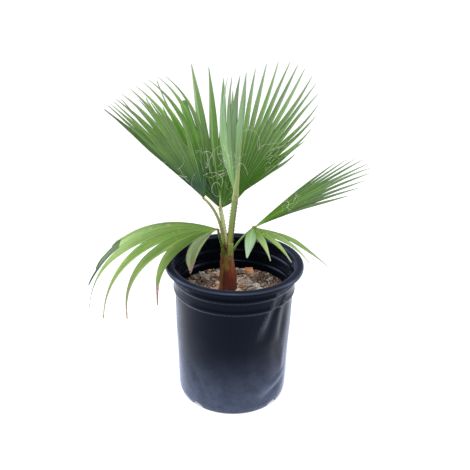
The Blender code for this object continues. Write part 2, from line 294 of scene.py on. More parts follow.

# One entry a leaf, by the same rule as the solids. Its petiole rises from root to heart, the point that
# its fan's ribs spread from, and runs past it by neck. flat_way is the heading of the petiole's wide side.
# A fan has a midrib and one or two halves, each from the midrib to its edge rib. Directions are pairs of a
# heading and a rise above level. Ribs start at heel, turn down by droop at their tips, later the higher
# power is, and part at split. middle and outer are the lengths of a half's middle and edge ribs. gather
# draws the tips towards the midrib, and spacing over 1 crowds the ribs there. costa is how far along the
# midrib the petiole runs on, and how wide it starts there. face tells on which side of the blade its folds
# stand out. finish names a half's look, or those of its upper side and underside, and changed that of
# single segments. twist is how far free tips turn, slim how fast they narrow, and bloom how much wax they
# have. slims and splits give single segments and seams their own. A segment ends at broken, is painted dark
# from folded on, as the shade inside a fold, and withers from dry on, each a share of its length.
LEAVES = (
    dict(
        name="left", root=(-0.0210, 0.0040), bend=(-0.0190, -0.0020, 0.3640),
        heart=(-0.0545, -0.0300, 0.4110), neck=0.0031, root_half_width=0.0044, half_width=0.0040,
        half_depth=0.0026, flat_way=130, tint="straw",
        fans=(
            dict(
                name="fan_left", midrib=(175, 41), length=0.232, droop=3, power=1.5, split=0.55, heel=0.0050,
                costa=(0.12, 0.45),
                halves=(
                    dict(edge=(250, 67), count=9, middle=0.229, outer=0.201, droop=15, face=1,
                         finish="blue_green", twist=16, slim=1.2,
                         changed={0: "shaded_green"}),
                    dict(edge=(85, 68), count=10, middle=0.230, outer=0.225, droop=5, face=-1, gather=0.35,
                         finish="blue_green", twist=16, slim=1.2,
                         changed={0: "shaded_green"}),
                ),
            ),
        ),
    ),
    dict(
        name="back", root=(-0.0150, 0.0105), bend=(-0.0180, 0.0140, 0.3270),
        heart=(-0.0285, 0.0300, 0.3680), neck=0.0020, root_half_width=0.0044, half_width=0.0042,
        half_depth=0.0024, flat_way=35, tint="straw",
        fans=(
            dict(
                name="fan_back", midrib=(98, 70), length=0.250, droop=-6, power=1.5, split=0.50, heel=0.0050,
                costa=(0.14, 0.60),
                halves=(
                    dict(edge=(150, 31), count=6, middle=0.274, outer=0.220, droop=8, face=1, gather=0.10,
                         finish="mid_green", twist=14, broken={2: 0.77}, slims={3: 2.4},
                         splits={3: 0.40, 4: 0.40}, changed={3: "shaded_green"}),
                    dict(edge=(48, 4), count=8, middle=0.175, outer=0.105, droop=0, face=-1, gather=0.20,
                         finish="mid_green", twist=14),
                ),
            ),
        ),
    ),
    dict(
        name="centre", root=(-0.0100, 0.0015), bend=(-0.0080, -0.0040, 0.3470),
        heart=(-0.0010, -0.0100, 0.4080), neck=0.0021, root_half_width=0.0058, half_width=0.0056,
        half_depth=0.0028, flat_way=0, tint="lime",
        fans=(
            dict(
                name="fan_centre", midrib=(-70, 78), length=0.245, droop=3, power=1.5, split=0.55,
                heel=0.0050, costa=(0.55, 1.05),
                halves=(
                    dict(edge=(14, 33), count=14, middle=0.250, outer=0.117, droop=0, face=-1,
                         finish="deep_green", twist=10, bloom=0.20),
                    dict(edge=(118, 50), count=5, middle=0.217, outer=0.211, droop=2, face=1, gather=0.50,
                         finish=("deep_green", "glaucous"), twist=24),
                ),
            ),
        ),
    ),
    dict(
        name="right", root=(-0.0060, 0.0085), bend=(0.0060, 0.0040, 0.3200),
        heart=(0.0340, 0.0000, 0.3450), neck=0.0035, root_half_width=0.0036, half_width=0.0034,
        half_depth=0.0022, flat_way=90, tint="leafy",
        fans=(
            dict(
                name="fan_right_raised", midrib=(10, 21), length=0.172, droop=13, power=1.5, split=0.60,
                heel=0.0050, costa=(0.20, 0.50),
                halves=(
                    dict(edge=(32, 32), count=10, middle=0.249, outer=0.191, droop=7, face=1,
                         finish="bright_green", twist=10,
                         changed={0: "dark_green"}),
                ),
            ),
            dict(
                name="fan_right_hanging", midrib=(-6, -9), length=0.178, droop=37, power=1.2, split=0.50,
                heel=0.0042, costa=(0.15, 0.50),
                halves=(
                    dict(edge=(-116, 0), count=5, middle=0.101, outer=0.091, droop=26, face=-1, spacing=1.6,
                         finish="yellow_green", twist=12, slim=2.0, split=0.36,
                         changed={4: "glaucous"}, slims={4: 1.2}),
                ),
            ),
        ),
    ),
    dict(
        name="arching", root=(-0.0175, -0.0035), bend=(-0.0275, -0.0140, 0.3220),
        heart=(-0.0310, -0.0280, 0.3515), neck=0.0010, root_half_width=0.0036, half_width=0.0032,
        half_depth=0.0022, flat_way=305, tint="leafy",
        fans=(
            dict(
                name="fan_arching", midrib=(156, 8), length=0.296, droop=69, power=1.04, split=0.40,
                heel=0.0036, costa=(0.20, 0.50),
                halves=(
                    dict(edge=(212, -6), count=7, middle=0.322, outer=0.048, droop=110, face=-1, spacing=1.3,
                         finish="yellow_green", twist=14, slim=2.3, bloom=0.10,
                         changed={6: "pale_green"}, slims={0: 0.8, 1: 1.1, 6: 1.25},
                         splits={0: 0.66, 1: 0.78, 2: 0.58, 6: 0.30}, folded={0: 0.60, 1: 0.64},
                         broken={0: 0.97, 1: 0.97}, dry={3: 0.97, 4: 0.91, 5: 0.80, 6: 0.86}),
                    dict(edge=(145, -1), count=5, middle=0.257, outer=0.086, droop=36, face=1,
                         # The underside of this half is painted dark green, as shade
                         finish=("yellow_green", "dark_green"), twist=6, slim=0.8, split=0.76,
                         broken={0: 0.82, 1: 0.90}),
                ),
            ),
        ),
    ),
)


def linear(hex_colour):
    """Linear RGBA of an sRGB hex colour."""
    channels = [int(hex_colour[k:k + 2], 16) / 255 for k in (0, 2, 4)]
    return [c / 12.92 if c <= 0.04045 else ((c + 0.055) / 1.055) ** 2.4 for c in channels] + [1.0]


def new_material(name):
    """A material with nodes: its shader, and add_node for its node tree."""
    material = bpy.data.materials.new(name)
    material.use_nodes = True
    tree = material.node_tree
    return material, tree.nodes["Principled BSDF"], partial(add_node, tree)


def set_inputs(node, inputs):
    """Set a node's inputs, each to a number, a colour or another node's output."""
    for name, value in inputs.items():
        if isinstance(value, bpy.types.NodeSocket):
            node.id_data.links.new(value, node.inputs[name])
        else:
            node.inputs[name].default_value = value


def add_node(tree, kind, inputs, out=0, stops=(), **settings):
    """Add a node with its inputs, its colour stops and its settings, and give one of its outputs."""
    node = tree.nodes.new(f"ShaderNode{kind}")
    for name, value in settings.items():
        setattr(node, name, value)
    set_inputs(node, inputs)
    for number, (place, colour) in enumerate(stops):
        elements = node.color_ramp.elements
        element = elements[number] if number < len(elements) else elements.new(1.0)
        element.position = place
        element.color = linear(colour)
    return node.outputs[out]


def object_point(add, stretch=(1.0, 1.0, 1.0)):
    """The surface's own place on the plant, in metres, with its axes stretched."""
    place = add("TexCoord", {}, "Object")
    return add("Mapping", {"Vector": place, "Scale": stretch})


def make_polyethylene():
    """Injection-moulded black polyethylene, a little blue, satin, and scuffed grey towards the foot."""
    material, shader, add = new_material("moulded_black_polyethylene")
    place = object_point(add)
    height = add("SeparateXYZ", {0: place}, "Z")
    lowness = add("MapRange", {
        "Value": height, "From Min": DUST_TOP, "From Max": DUST_FOOT, "To Max": 0.86},
        interpolation_type="SMOOTHSTEP")
    # Dust and scuffs are patches about 20 mm across, crossed by scratches 1 to 2 mm apart
    patches = add("TexNoise", {"Vector": place, "Scale": 48.0, "Detail": 6.0, "Roughness": 0.6})
    scratches = add("TexNoise", {
        "Vector": object_point(add, (1.0, 1.0, 0.16)), "Scale": 620.0, "Detail": 3.0})
    worn = add("Math", {0: scratches, 1: 0.20, 2: patches}, operation="MULTIPLY_ADD")
    worn = add("MapRange", {"Value": worn, "From Min": 0.36, "From Max": 0.92, "To Min": 0.45})
    scuff_and_highlight = add("Math", {0: worn, 1: lowness}, operation="MULTIPLY")
    # Polyethylene turns pale where it has been folded. A pale band just under the top of the lip is a painted
    # highlight, for the light that its rounded edge catches
    strain = add("Attribute", {}, "Fac", attribute_name="strain")
    scuff_and_highlight = add("Math", {0: strain, 1: 0.24, 2: scuff_and_highlight}, operation="MULTIPLY_ADD")
    risen = add("MapRange", {
        "Value": height, "From Min": POT_HEIGHT - LIP_HIGHLIGHT_DEPTH, "From Max": POT_HEIGHT})
    lip_highlight = add("ValToRGB", {"Fac": risen}, stops=[
        (0.10, "000000"), (0.45, "909090"), (0.75, "909090"), (0.98, "404040")])
    # The painted highlight joins the scuffs
    scuff_and_highlight = add("Math", {0: lip_highlight, 1: scuff_and_highlight}, operation="ADD")
    colour = add("Mix", {0: scuff_and_highlight, 6: linear("040609"), 7: linear("596278")}, 2, data_type="RGBA")
    roughness = add("MapRange", {
        "Value": patches, "From Min": 0.3, "From Max": 0.7, "To Min": 0.22, "To Max": 0.34})
    # The mould's fine grain, about 1 mm, drawn three times coarser than life
    grain = add("TexNoise", {"Vector": place, "Scale": 350.0, "Detail": 2.0})
    relief = add("Bump", {"Height": grain, "Strength": 0.03, "Distance": 0.0004})
    # The sheen is a film of dust, which shows where the wall is seen edge on
    set_inputs(shader, {
        "Base Color": colour, "Roughness": roughness, "Normal": relief, "IOR": 1.51,
        "Specular IOR Level": 0.13, "Specular Tint": linear("A8C2FF"),
        "Sheen Weight": 0.9, "Sheen Roughness": 0.28, "Sheen Tint": linear("8696C0")})
    return material


def make_grained(name, dark, middle, light, grain, roughness, relief):
    """A dull natural surface: three shades in grains of a given size in metres, with their relief."""
    material, shader, add = new_material(name)
    grains = add("TexNoise", {
        "Vector": object_point(add), "Scale": 1.0 / grain, "Detail": 7.0, "Roughness": 0.62})
    colour = add("ValToRGB", {"Fac": grains}, stops=[(0.34, dark), (0.50, middle), (0.66, light)])
    bump = add("Bump", {"Height": grains, "Strength": 0.8, "Distance": relief})
    set_inputs(shader, {
        "Base Color": colour, "Normal": bump, "Roughness": roughness, "Specular IOR Level": 0.25})
    return material


def make_trunk_fibre():
    """Old leaf bases: coarse upright fibre, dark red-brown, orange-brown in the middle, olive on top."""
    material, shader, add = new_material("fibrous_leaf_base")
    # Fibres are about 1.4 mm wide and run up the trunk
    fibres = add("TexNoise", {
        "Vector": object_point(add, (1.0, 1.0, 0.07)), "Scale": 700.0, "Detail": 4.0, "Roughness": 0.7})
    patches = add("TexNoise", {
        "Vector": object_point(add, (1.0, 1.0, 0.5)), "Scale": 90.0, "Detail": 3.0})
    height = add("SeparateXYZ", {0: object_point(add)}, "Z")
    risen = add("MapRange", {
        "Value": height, "From Min": TRUNK_FOOT.z, "From Max": TRUNK_CROWN.z + 0.012})
    mottle = add("Math", {0: patches, 1: 0.5}, operation="SUBTRACT")
    risen = add("Math", {0: mottle, 1: 0.9, 2: risen}, operation="MULTIPLY_ADD")
    hue = add("ValToRGB", {"Fac": risen}, stops=[
        (0.0, "481A0E"), (0.30, "6A2E18"), (0.62, "7C4226"), (0.90, "645826")])
    shade = add("MapRange", {
        "Value": fibres, "From Min": 0.35, "From Max": 0.65, "To Min": 0.45, "To Max": 1.35})
    colour = add("VectorMath", {0: hue, "Scale": shade}, operation="SCALE")
    relief = add("Bump", {"Height": fibres, "Strength": 0.9, "Distance": 0.0009})
    set_inputs(shader, {"Base Color": colour, "Normal": relief, "Roughness": 0.62})
    return material


def make_stalk(name, foot, middle, top, edge, roughness=0.42, places=(0.04, 0.24, 0.80), lined_by=0.18):
    """A fresh stalk or sheath, smooth and waxy, with fine fibre lines along it and darker margins.

    Its UV map runs round a stalk from 0 to 2 in U, or across a sheath from 0 to 1, and from root to tip in V.
    The fibre lines are lighter and darker than the skin by the share lined_by.
    """
    material, shader, add = new_material(name)
    spot = add("UVMap", {}, uv_map="blade")
    across = add("SeparateXYZ", {0: spot}, "X")
    up = add("SeparateXYZ", {0: spot}, "Y")
    blotches = add("TexNoise", {"Vector": object_point(add), "Scale": 110.0, "Detail": 4.0})
    stray = add("Math", {0: blotches, 1: 0.5}, operation="SUBTRACT")
    along = add("Math", {0: stray, 1: 0.5, 2: up}, operation="MULTIPLY_ADD")
    body = add("ValToRGB", {"Fac": along}, stops=list(zip(places, (foot, middle, top))))
    # Fibre lines about 0.6 mm apart across the stalk
    line_place = add("Mapping", {"Vector": spot, "Scale": (26.0, 1.2, 1.0)})
    lines = add("TexNoise", {"Vector": line_place, "Scale": 1.0, "Detail": 3.0})
    shade = add("MapRange", {
        "Value": lines, "From Min": 0.3, "From Max": 0.7, "To Min": 1 - lined_by, "To Max": 1 + lined_by})
    lined = add("VectorMath", {0: body, "Scale": shade}, operation="SCALE")
    # One margin, at U 0 and 2, is broader and darker than the other, at U 1
    side = add("Math", {0: across, 1: 1.0}, operation="PINGPONG")
    rim = add("ValToRGB", {"Fac": side}, stops=[
        (0.0, "FFFFFF"), (0.26, "D0D0D0"), (0.38, "000000"), (0.90, "000000"), (1.0, "B0B0B0")])
    colour = add("Mix", {0: rim, 6: lined, 7: linear(edge)}, 2, data_type="RGBA")
    relief = add("Bump", {"Height": lines, "Strength": 0.35, "Distance": 0.0003})
    set_inputs(shader, {"Base Color": colour, "Normal": relief, "Roughness": roughness})
    return material


def make_leaf(name, heart, middle, far, tip, yellowing=0.0):
    """A palm leaf's waxy skin: fine veins along each segment, a pale rib in its fold, greyer far out.

    The blade's UV map counts segments in U, and in V runs from the heart, 0, to the tips, 1. tone is how
    light a segment is, and bloom how much of the white wax it still has.
    """
    material, shader, add = new_material(name)
    spot = add("UVMap", {}, uv_map="blade")
    across = add("SeparateXYZ", {0: spot}, "X")
    outwards = add("SeparateXYZ", {0: spot}, "Y")
    tone = add("Attribute", {}, "Fac", attribute_name="tone")
    drift = add("TexNoise", {
        "Vector": object_point(add), "Scale": 28.0, "Detail": 4.0, "Roughness": 0.6})
    stray = add("Math", {0: drift, 1: 0.5}, operation="SUBTRACT")
    along = add("Math", {0: stray, 1: 0.45, 2: outwards}, operation="MULTIPLY_ADD")
    body = add("ValToRGB", {"Fac": along}, stops=[
        (0.08, heart), (0.42, middle), (0.70, far), (0.96, tip)])
    # Veins are about 1 mm apart, drawn at about 2 mm so that they show
    vein_place = add("Mapping", {"Vector": spot, "Scale": (8.0, 1.8, 1.0)})
    veins = add("TexNoise", {"Vector": vein_place, "Scale": 1.0, "Detail": 4.0, "Roughness": 0.7})
    veins = add("MapRange", {
        "Value": veins, "From Min": 0.30, "From Max": 0.70, "To Min": 0.62, "To Max": 1.38})
    shade = add("Math", {0: veins, 1: tone}, operation="MULTIPLY")
    lined = add("VectorMath", {0: body, "Scale": shade}, operation="SCALE")
    bloom = add("Attribute", {}, "Fac", attribute_name="bloom")
    bloom = add("Math", {0: bloom, 1: veins}, operation="MULTIPLY")
    waxed = add("Mix", {0: bloom, 6: lined, 7: linear("9DB08C")}, 2, data_type="RGBA")
    # Cells that die off leave yellow-brown spots 3 to 8 mm across
    spots = add("TexNoise", {"Vector": object_point(add), "Scale": 95.0, "Detail": 2.0})
    spots = add("MapRange", {
        "Value": spots, "From Min": 0.63, "From Max": 0.74, "To Max": yellowing})
    waxed = add("Mix", {0: spots, 6: waxed, 7: linear("A89C50")}, 2, data_type="RGBA")
    # Painted shade darkens the crease between two segments, and the rib along a segment's fold is paler
    fold = add("Math", {0: across, 1: 0.5}, operation="PINGPONG")
    crease_shade = add("MapRange", {"Value": fold, "From Min": 0.0, "From Max": 0.09, "To Min": 0.62})
    crease_shaded = add("VectorMath", {0: waxed, "Scale": crease_shade}, operation="SCALE")
    rib = add("MapRange", {"Value": fold, "From Min": 0.45, "From Max": 0.495, "To Max": 0.40})
    colour = add("Mix", {0: rib, 6: crease_shaded, 7: linear("93AA62")}, 2, data_type="RGBA")
    relief = add("Bump", {"Height": veins, "Strength": 0.35, "Distance": 0.0004})
    set_inputs(shader, {
        "Base Color": colour, "Normal": relief, "Roughness": 0.48, "Specular IOR Level": 0.18})
    return material


def make_floor():
    """A plain white studio floor, which also gives back a little light of its own."""
    material, shader, _ = new_material("studio_white")
    set_inputs(shader, {
        "Base Color": linear("C8C8C8"), "Roughness": 0.85, "Emission Color": linear("FFFFFF"),
        "Emission Strength": 0.45})
    return material


def new_object(name, data):
    """A new object in the scene."""
    thing = bpy.data.objects.new(name, data)
    bpy.context.scene.collection.objects.link(thing)
    return thing


def new_mesh(name, bm):
    """A mesh from a bmesh, which is then freed."""
    mesh = bpy.data.meshes.new(name)
    bm.to_mesh(mesh)
    bm.free()
    return mesh


def add_piece(name, bm, materials, nodes=(), sharp=35):
    """Turn a bmesh into a piece of the plant that stands for the named solids."""
    mesh = new_mesh(name, bm)
    for material in materials:
        mesh.materials.append(material)
    mesh.shade_smooth()
    mesh.set_sharp_from_angle(angle=radians(sharp))
    piece = new_object(name, mesh)
    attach(piece, "root")
    if nodes:
        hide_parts(*nodes)
    return piece


def clamped(share):
    """The share, kept between 0 and 1."""
    return min(max(share, 0.0), 1.0)


def swell(value, start, end):
    """Smooth rise from 0 at start to 1 at end."""
    share = clamped((value - start) / (end - start))
    return share * share * (3 - 2 * share)


def direction(heading, rise):
    """Unit vector from a heading and a rise in degrees."""
    turned = radians(heading)
    raised = radians(rise)
    return Vector((cos(turned) * cos(raised), sin(turned) * cos(raised), sin(raised)))


def rounded(corners):
    """A profile of (radius, height, round) corners, each eased by a curve that starts round away from it."""
    points = []
    for number, (radius, height, ease) in enumerate(corners):
        here = Vector((radius, height))
        if ease == 0:
            points.append(here)
            continue
        before = Vector(corners[number - 1][:2])
        after = Vector(corners[number + 1][:2])
        start = here + (before - here).normalized() * ease
        end = here + (after - here).normalized() * ease
        for step in range(CORNER_STEPS + 1):
            share = step / CORNER_STEPS
            points.append(start.lerp(here, share).lerp(here.lerp(end, share), share))
    return points


def spin_profile(bm, profile, steps, longest):
    """Turn a profile about Z. Its long straight stretches get rows that are no further apart than longest."""
    corners = [bm.verts.new((point.x, 0.0, point.y)) for point in profile]
    edges = [bm.edges.new(pair) for pair in zip(corners, corners[1:])]
    for edge in edges:
        cuts = floor(edge.calc_length() / longest)
        if cuts and min(corner.co.x for corner in edge.verts) > WALL_ZONE:
            bmesh.ops.subdivide_edges(bm, edges=[edge], cuts=cuts)
    bmesh.ops.spin(bm, geom=bm.verts[:] + bm.edges[:], axis=(0, 0, 1), cent=(0, 0, 0), steps=steps,
                   angle=2 * pi, use_merge=True)
    bmesh.ops.remove_doubles(bm, verts=bm.verts, dist=SEAM)
    bmesh.ops.recalc_face_normals(bm, faces=bm.faces)


def wall_push(heading, height):
    """How far out the pot's wall is pushed: its creases, and a slow wave all round."""
    out = 0.0
    for first_heading, first_height, last_heading, last_height, half_width, push in CREASES:
        turn = (heading - first_heading + 180) % 360 - 180
        here = Vector((radians(turn) * BODY_TOP_RADIUS, height - first_height))
        line = Vector((radians(last_heading - first_heading) * BODY_TOP_RADIUS, last_height - first_height))
        share = clamped(here.dot(line) / line.length_squared)
        away = (here - line * share).length / half_width
        swing = sin(pi * (CREASE_END_TURN + (1 - 2 * CREASE_END_TURN) * share))
        out += push * exp(-away * away) * (CREASE_END_SHARE + (1 - CREASE_END_SHARE) * swing)
    turned = radians(heading)
    spot = Vector((cos(turned), sin(turned), 0)) * BODY_TOP_RADIUS + Vector((0, 0, height))
    out += WALL_WAVE * noise.noise(spot / WALL_WAVE_SPAN)
    return out * swell(height, *FOOT_FADE) * swell(height, UPPER_STEP_HEIGHT + TOP_FADE, UPPER_STEP_HEIGHT)


def build_pot(material):
    """Turn the pot's shell from its floor up the inside, over the lip and down the outside."""
    steps = (
        (COLLAR_RADIUS, MIDDLE_BAND_RADIUS, UPPER_STEP_HEIGHT),
        (MIDDLE_BAND_RADIUS, BODY_TOP_RADIUS, LOWER_STEP_HEIGHT),
    )
    wall = []
    for above, below, height in steps:
        wall += [
            (above, height + BEAD_RISE, BEAD_EASE),
            (above + BEAD, height + BEAD_FOOT, BEAD_EASE),
            (below, height - STEP_DROP, STEP_EASE),
        ]
    wall.append((BODY_FOOT_RADIUS, FOOT_HEIGHT, FOOT_EASE))
    inside = [(radius - WALL, height, ease) for radius, height, ease in wall]
    under_lip = POT_HEIGHT - WALL
    corners = [(0.0, FLOOR, 0), (FOOT_FLAT_RADIUS - WALL, FLOOR, FLOOR_EASE)]
    corners += reversed(inside)
    corners += [
        (COLLAR_RADIUS - WALL, under_lip - NECK_DROP, NECK_EASE),
        (MOUTH_RADIUS, POT_HEIGHT, MOUTH_EASE),
        (RIM_RADIUS, POT_HEIGHT, LIP_ROUND),
        (RIM_RADIUS, POT_HEIGHT - LIP_DEPTH, LIP_EDGE_EASE),
        (RIM_RADIUS - WALL, POT_HEIGHT - LIP_DEPTH, LIP_EDGE_EASE),
        (RIM_RADIUS - WALL, under_lip, LIP_INNER_EASE),
        (COLLAR_RADIUS, under_lip, COLLAR_EASE),
    ]
    corners += wall + [(FOOT_FLAT_RADIUS + FOOT_SPREAD, 0.0, FLOOR_EASE), (0.0, 0.0, 0)]
    bm = bmesh.new()
    spin_profile(bm, rounded(corners), POT_TURN_STEPS, WALL_ROW)
    strain = bm.verts.layers.float.new("strain")
    for corner in bm.verts:
        out = Vector((corner.co.x, corner.co.y, 0))
        if out.length > WALL_ZONE:
            push = wall_push(degrees(atan2(out.y, out.x)), corner.co.z)
            corner.co += out.normalized() * push
            corner[strain] = swell(push, *STRAIN_PUSHES)
    pot = add_piece("nursery_pot", bm, [material], ["pot"], sharp=40)
    cut_notches(pot)
    return pot


def cut_notches(pot):
    """Cut the drain notches through the pot's bottom corner, and keep the cut shape as the pot's mesh."""
    tools = bmesh.new()
    for heading in NOTCH_HEADINGS:
        lay_flat = Matrix.Rotation(pi / 2, 4, "Y")
        swing = Matrix.Rotation(radians(heading), 4, "Z")
        place = Matrix.Translation((BODY_FOOT_RADIUS, 0.0, NOTCH_AXIS_HEIGHT))
        bmesh.ops.create_cone(tools, cap_ends=True, segments=NOTCH_SIDES, radius1=NOTCH_RADIUS,
                              radius2=NOTCH_RADIUS, depth=NOTCH_DEPTH, matrix=swing @ place @ lay_flat)
    cutter = new_object("notch_tools", new_mesh("notch_tools", tools))
    cut = pot.modifiers.new("notches", "BOOLEAN")
    cut.operation = "DIFFERENCE"
    cut.solver = "EXACT"
    cut.object = cutter
    shaped = bpy.data.meshes.new_from_object(pot.evaluated_get(bpy.context.evaluated_depsgraph_get()))
    pot.modifiers.clear()
    pot.data = shaped
    bpy.data.objects.remove(cutter, do_unlink=True)


def mix_height(x, y):
    """Height of the bark mix, which is highest in the middle, and lumpy."""
    radius = hypot(x, y)
    base = MIX_HEIGHT - MIX_TOP_DROP - (MIX_HEIGHT - MIX_EDGE_HEIGHT) * (radius / MIX_RADIUS) ** 2
    lumps = noise.fractal(Vector((x, y, 0.0)) / MIX_LUMP, 0.6, 2.0, 3)
    return base + MIX_BUMP * lumps


def build_mix(material):
    """Turn the bed of fine mix that fills the pot, then raise its top into lumps."""
    side = MIX_RADIUS - MIX_CLEARANCE
    foot = FLOOR + MIX_CLEARANCE
    inwards, down = MIX_SHOULDER
    profile = [Vector((side * step / MIX_RINGS, MIX_HEIGHT)) for step in range(MIX_RINGS + 1)]
    profile += [
        Vector((side - inwards, MIX_HEIGHT - down)),
        Vector((BODY_FOOT_RADIUS - MIX_FOOT_INSET, FOOT_HEIGHT)),
        Vector((MIX_FOOT_RADIUS, foot)),
        Vector((0.0, foot)),
    ]
    bm = bmesh.new()
    spin_profile(bm, profile, MIX_TURN_STEPS, MIX_ROW)
    for corner in bm.verts:
        if corner.co.z > MIX_HEIGHT - SEAM:
            corner.co.z = mix_height(corner.co.x, corner.co.y)
        out = Vector((corner.co.x, corner.co.y, 0))
        if out.length > MIX_WALL_ZONE and corner.co.z > FOOT_HEIGHT:
            push = wall_push(degrees(atan2(out.y, out.x)), corner.co.z)
            corner.co += out.normalized() * min(push, 0.0)
    return add_piece("bark_mix_bed", bm, [material], ["bark_mix"], sharp=60)


def mix_spot(chance, margin):
    """A random place on the mix, clear of the trunk."""
    while True:
        heading = chance.uniform(0, 360)
        radius = (MIX_RADIUS - margin) * chance.uniform(0, 1) ** 0.5
        spot = direction(heading, 0) * radius
        if (spot - TRUNK_FOOT.xy.to_3d()).length > TRUNK_BERTH:
            return spot


def add_chip(bm, chance, spot, length, lift=0.4):
    """One chip of bark: a block with pulled corners and blunted edges, lying askew on the mix."""
    made = bmesh.ops.create_cube(bm, size=1.0)
    width = length * chance.uniform(*CHIP_WIDTHS)
    thick = length * chance.uniform(*CHIP_THICKNESSES)
    turn = Matrix.Rotation(chance.uniform(0, 2 * pi), 3, "Z")
    tilt = Matrix.Rotation(radians(chance.gauss(0, CHIP_TILT)), 3, "X")
    lean = Matrix.Rotation(radians(chance.gauss(0, CHIP_LEAN)), 3, "Y")
    centre = Vector((spot.x, spot.y, mix_height(spot.x, spot.y) + thick * lift))
    for corner in made["verts"]:
        pulled = Vector([value * (1 + chance.uniform(*CHIP_PULLS)) for value in corner.co])
        sized = Vector((pulled.x * length, pulled.y * width, pulled.z * thick))
        corner.co = centre + turn @ tilt @ lean @ sized
    edges = list({edge for corner in made["verts"] for edge in corner.link_edges})
    bmesh.ops.bevel(bm, geom=edges, offset=thick * CHIP_BEVEL, affect="EDGES", segments=1, profile=0.5,
                    material=-1)


def build_chips(materials):
    """Scatter the bark chips of each kind over the mix, from 5 to 20 mm long, and lay the largest ones."""
    for kind, count in CHIP_COUNTS.items():
        chance = random.Random(f"chips {kind}")
        bm = bmesh.new()
        for number in range(count):
            length = CHIP_SHORTEST + CHIP_SPREAD * chance.random() ** 2.0
            add_chip(bm, chance, mix_spot(chance, length * 0.7), length)
        for x, y, length in LARGE_CHIPS.get(kind, ()):
            add_chip(bm, chance, Vector((x, y, 0)), length, lift=LARGE_CHIP_LIFT)
        add_piece(f"bark_chips_{kind}", bm, [materials[kind]])


def build_bits(name, material, count, small, large, squash):
    """Scatter small lumps over the mix: perlite, or crumbs of peat and bark."""
    chance = random.Random(name)
    bm = bmesh.new()
    for number in range(count):
        size = chance.uniform(small, large)
        spot = mix_spot(chance, size)
        spot.z = mix_height(spot.x, spot.y) + size * BIT_LIFT
        place = Matrix.Translation(spot) @ Matrix.Rotation(chance.uniform(0, pi), 4, "Z")
        shape = Matrix.Diagonal((size, size * chance.uniform(0.6, 1.0), size * squash, 1.0))
        made = bmesh.ops.create_icosphere(bm, subdivisions=1, radius=0.5, matrix=place @ shape)
        for corner in made["verts"]:
            corner.co += Vector([chance.gauss(0, BIT_ROUGHNESS) * size for axis in range(3)])
    return add_piece(name, bm, [material], sharp=30)


def stack_rings(bm, rings, sides):
    """A closed limb from rings of points: one round face, extruded ring by ring."""
    first = bmesh.ops.create_circle(bm, cap_ends=True, radius=1.0, segments=sides)["verts"]
    end = first[0].link_faces[0]
    for number, ring in enumerate(rings):
        if number > 0:
            end = bmesh.ops.extrude_discrete_faces(bm, faces=[end])["faces"][0]
        for corner, point in zip(end.verts, ring):
            corner.co = point
    rim = {edge for corner in first for edge in corner.link_edges if edge.is_boundary}
    bmesh.ops.holes_fill(bm, edges=list(rim), sides=sides)


def tube(bm, path, radii, sides):
    """A closed round tube along a path."""
    rings = []
    across = (path[1] - path[0]).orthogonal().normalized()
    for number, (centre, radius) in enumerate(zip(path, radii)):
        along = path[min(number + 1, len(path) - 1)] - path[max(number - 1, 0)]
        across = (across - along * (across.dot(along) / along.length_squared)).normalized()
        beside = along.normalized().cross(across)
        turns = [2 * pi * k / sides for k in range(sides)]
        rings.append([centre + (across * cos(turn) + beside * sin(turn)) * radius for turn in turns])
    stack_rings(bm, rings, sides)


def build_twigs(material):
    """Thin shreds of bark and root that lie over the mix."""
    chance = random.Random("twigs")
    bm = bmesh.new()
    for number in range(TWIG_COUNT):
        length = chance.uniform(*TWIG_LENGTHS)
        spot = mix_spot(chance, length)
        way = direction(chance.uniform(0, 360), 0)
        bow = way.cross(Vector((0, 0, 1))) * chance.uniform(-TWIG_BOW, TWIG_BOW) * length
        path = []
        for step in range(len(TWIG_TAPER)):
            share = step / (len(TWIG_TAPER) - 1)
            point = spot + way * length * (share - 0.5) + bow * sin(pi * share)
            point.z = mix_height(point.x, point.y) + TWIG_LIFT + TWIG_ARCH * sin(pi * share)
            path.append(point)
        thick = chance.uniform(*TWIG_RADII)
        tube(bm, path, [thick * share for share in TWIG_TAPER], 4)
    bmesh.ops.recalc_face_normals(bm, faces=bm.faces)
    return add_piece("bark_shreds", bm, [material], sharp=60)


def trunk_radius(share):
    """Radius of the trunk at a share of its height: it tapers to the crown and flares at its foot."""
    return TRUNK_TOP_RADIUS + TRUNK_TAPER * (1 - share) + ROOT_FLARE * exp(-share * FLARE_FALL)


def trunk_ring(share):
    """The points round the trunk at a share of its height, with the overlaps of old leaf bases and fibre."""
    centre = (TRUNK_FOOT - Vector((0, 0, TRUNK_SUNK))).lerp(TRUNK_CROWN, share)
    points = []
    for k in range(TRUNK_SIDES):
        turned = 2 * pi * k / TRUNK_SIDES
        out = Vector((cos(turned), sin(turned), 0))
        # Each old leaf base wraps half the trunk, and its torn edge climbs round it
        stray = WRAP_STRAY * noise.noise(out * 3 + centre * 60)
        wrap = (k / TRUNK_SIDES * WRAPS_ROUND + share * WRAP_CLIMB + stray) % 1.0
        fibre = noise.fractal(Vector((out.x, out.y, centre.z)) * Vector(FIBRE_CUTS), 0.7, 2.0, 3)
        radius = trunk_radius(share) + WRAP_RELIEF * (wrap - 0.5) + FIBRE_RELIEF * fibre
        points.append(centre + out * radius)
    return points


def build_trunk(material):
    """Stack the trunk's rings from its foot, a little inside the mix, to its crown."""
    bm = bmesh.new()
    stack_rings(bm, [trunk_ring(row / TRUNK_ROWS) for row in range(TRUNK_ROWS + 1)], TRUNK_SIDES)
    bmesh.ops.recalc_face_normals(bm, faces=bm.faces)
    return add_piece("trunk_fibre", bm, [material], ["trunk"], sharp=50)


